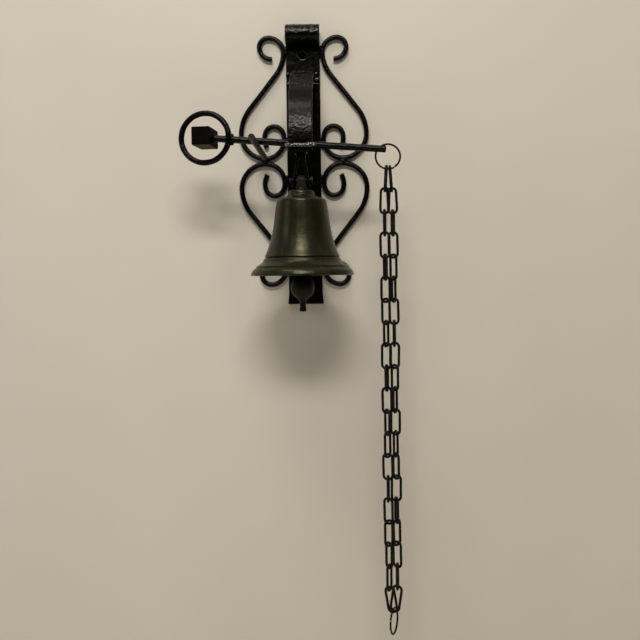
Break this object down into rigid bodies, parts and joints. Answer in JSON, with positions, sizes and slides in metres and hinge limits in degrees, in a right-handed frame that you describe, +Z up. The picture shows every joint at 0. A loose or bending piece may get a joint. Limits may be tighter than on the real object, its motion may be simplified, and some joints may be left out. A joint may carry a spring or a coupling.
{
  "type": "wall mounted bell",
  "caption": "Brass bell hung from a counterweighted lever on a scrolled wrought iron wall bracket, rung by a double pull chain with a small ring.",
  "frame": {"origin": "centre of the two wall screw holes, on the wall face", "axes": "+Z up, +X right seen from the front, -Y out of the wall"},
  "size_m": [0.243, 0.161, 0.6869],
  "materials": {
    "black_iron": "satin black brushed over hammered wrought iron",
    "brown_iron": "dark brown bare iron",
    "dark_steel": "darkened steel",
    "aged_brass": "aged brass with a dark olive patina, faint turning marks",
    "chain_wire": "dull dark wire"
  },
  "bodies": {
    "bracket": {"back_plate": "black_iron", "bracket_arm": "black_iron", "scroll_upper_left": "black_iron", "scroll_upper_right": "black_iron", "scroll_lower_left": "black_iron", "scroll_lower_right": "black_iron", "rest_peg": "brown_iron", "pivot_pin": "black_iron", "pivot_washer": "dark_steel", "pivot_collar": "black_iron", "set_screw": "dark_steel", "bracket_welds": "black_iron"},
    "lever": {"lever_hub": "black_iron", "lever_rod_left": "black_iron", "lever_rod_right": "black_iron", "counterweight_ring": "black_iron", "counterweight_block": "black_iron", "bell_clevis": "black_iron", "lever_welds": "black_iron", "clevis_pin": "dark_steel", "split_pin": "dark_steel"},
    "bell": {"bell_shell": "aged_brass", "bell_post": "aged_brass", "crown_washer": "dark_steel", "eye_nut": "dark_steel"},
    "clapper": {"clapper_stem": "dark_steel", "clapper_bob": "aged_brass"},
    "top_ring": {"top_ring": "chain_wire"},
    "chain_links_01": {"chain_links_01": "chain_wire"},
    "chain_links_02": {"chain_links_02": "chain_wire"},
    "chain_links_03": {"chain_links_03": "chain_wire"},
    "chain_links_04": {"chain_links_04": "chain_wire"},
    "chain_links_05": {"chain_links_05": "chain_wire"},
    "chain_links_06": {"chain_links_06": "chain_wire"},
    "chain_links_07": {"chain_links_07": "chain_wire"},
    "chain_links_08": {"chain_links_08": "chain_wire"},
    "chain_links_09": {"chain_links_09": "chain_wire"},
    "chain_links_10": {"chain_links_10": "chain_wire"},
    "chain_links_11": {"chain_links_11": "chain_wire"},
    "chain_links_12": {"chain_links_12": "chain_wire"},
    "chain_links_13": {"chain_links_13": "chain_wire"},
    "chain_links_14": {"chain_links_14": "chain_wire"},
    "chain_links_15": {"chain_links_15": "chain_wire"},
    "chain_links_16": {"chain_links_16": "chain_wire"},
    "chain_links_17": {"chain_links_17": "chain_wire"},
    "chain_links_18": {"chain_links_18": "chain_wire"},
    "chain_links_19": {"chain_links_19": "chain_wire"},
    "chain_links_20": {"chain_links_20": "chain_wire"},
    "pull_ring": {"pull_ring": "chain_wire"}
  },
  "joints": [
    {"name": "lever_pivot", "type": "hinge", "parent": "bracket", "child": "lever", "pos_m": [0, -0.086, 0.018], "axis": [0, 1, 0], "range_deg": [0, 25]},
    {"name": "bell_swing", "type": "hinge", "parent": "lever", "child": "bell", "pos_m": [0, -0.086, -0.02], "axis": [1, 0, 0], "range_deg": [-8, 8]},
    {"name": "clapper_swing", "type": "hinge", "parent": "bell", "child": "clapper", "pos_m": [0, -0.086, -0.0605], "axis": [0, 1, 0], "range_deg": [-30, 30]},
    {"name": "top_ring_turn", "type": "hinge", "parent": "lever", "child": "top_ring", "pos_m": [0.0946, -0.086, 0.0049], "axis": [0, 1, 0], "range_deg": [-25, 5]},
    {"name": "chain_joint_01", "type": "hinge", "parent": "top_ring", "child": "chain_links_01", "pos_m": [0.0946, -0.086, -0.00727], "axis": [1, 0, 0], "range_deg": [-4, 1.5]},
    {"name": "chain_joint_02", "type": "hinge", "parent": "chain_links_01", "child": "chain_links_02", "pos_m": [0.0946, -0.086, -0.03129], "axis": [0, 1, 0], "range_deg": [-3, 3]},
    {"name": "chain_joint_03", "type": "hinge", "parent": "chain_links_02", "child": "chain_links_03", "pos_m": [0.0946, -0.086, -0.05535], "axis": [1, 0, 0], "range_deg": [-4, 1.5]},
    {"name": "chain_joint_04", "type": "hinge", "parent": "chain_links_03", "child": "chain_links_04", "pos_m": [0.0946, -0.086, -0.07943], "axis": [0, 1, 0], "range_deg": [-3, 3]},
    {"name": "chain_joint_05", "type": "hinge", "parent": "chain_links_04", "child": "chain_links_05", "pos_m": [0.0946, -0.086, -0.10351], "axis": [1, 0, 0], "range_deg": [-4, 1.5]},
    {"name": "chain_joint_06", "type": "hinge", "parent": "chain_links_05", "child": "chain_links_06", "pos_m": [0.0946, -0.086, -0.12759], "axis": [0, 1, 0], "range_deg": [-3, 3]},
    {"name": "chain_joint_07", "type": "hinge", "parent": "chain_links_06", "child": "chain_links_07", "pos_m": [0.0946, -0.086, -0.15167], "axis": [1, 0, 0], "range_deg": [-4, 1.5]},
    {"name": "chain_joint_08", "type": "hinge", "parent": "chain_links_07", "child": "chain_links_08", "pos_m": [0.0946, -0.086, -0.17575], "axis": [0, 1, 0], "range_deg": [-3, 3]},
    {"name": "chain_joint_09", "type": "hinge", "parent": "chain_links_08", "child": "chain_links_09", "pos_m": [0.0946, -0.086, -0.19983], "axis": [1, 0, 0], "range_deg": [-4, 1.5]},
    {"name": "chain_joint_10", "type": "hinge", "parent": "chain_links_09", "child": "chain_links_10", "pos_m": [0.0946, -0.086, -0.22391], "axis": [0, 1, 0], "range_deg": [-3, 3]},
    {"name": "chain_joint_11", "type": "hinge", "parent": "chain_links_10", "child": "chain_links_11", "pos_m": [0.0946, -0.086, -0.24799], "axis": [1, 0, 0], "range_deg": [-4, 1.5]},
    {"name": "chain_joint_12", "type": "hinge", "parent": "chain_links_11", "child": "chain_links_12", "pos_m": [0.0946, -0.086, -0.27207], "axis": [0, 1, 0], "range_deg": [-3, 3]},
    {"name": "chain_joint_13", "type": "hinge", "parent": "chain_links_12", "child": "chain_links_13", "pos_m": [0.0946, -0.086, -0.29615], "axis": [1, 0, 0], "range_deg": [-4, 1.5]},
    {"name": "chain_joint_14", "type": "hinge", "parent": "chain_links_13", "child": "chain_links_14", "pos_m": [0.0946, -0.086, -0.32023], "axis": [0, 1, 0], "range_deg": [-3, 3]},
    {"name": "chain_joint_15", "type": "hinge", "parent": "chain_links_14", "child": "chain_links_15", "pos_m": [0.0946, -0.086, -0.34431], "axis": [1, 0, 0], "range_deg": [-4, 1.5]},
    {"name": "chain_joint_16", "type": "hinge", "parent": "chain_links_15", "child": "chain_links_16", "pos_m": [0.0946, -0.086, -0.36839], "axis": [0, 1, 0], "range_deg": [-3, 3]},
    {"name": "chain_joint_17", "type": "hinge", "parent": "chain_links_16", "child": "chain_links_17", "pos_m": [0.0946, -0.086, -0.39247], "axis": [1, 0, 0], "range_deg": [-4, 1.5]},
    {"name": "chain_joint_18", "type": "hinge", "parent": "chain_links_17", "child": "chain_links_18", "pos_m": [0.0946, -0.086, -0.41655], "axis": [0, 1, 0], "range_deg": [-3, 3]},
    {"name": "chain_joint_19", "type": "hinge", "parent": "chain_links_18", "child": "chain_links_19", "pos_m": [0.0946, -0.086, -0.44063], "axis": [1, 0, 0], "range_deg": [-4, 1.5]},
    {"name": "chain_joint_20", "type": "hinge", "parent": "chain_links_19", "child": "chain_links_20", "pos_m": [0.0946, -0.086, -0.46471], "axis": [0, 1, 0], "range_deg": [-3, 3]},
    {"name": "pull_ring_turn", "type": "hinge", "parent": "chain_links_20", "child": "pull_ring", "pos_m": [0.0946, -0.086, -0.48853], "axis": [0.342, 0.9397, 0], "range_deg": [-20, 20]}
  ]
}
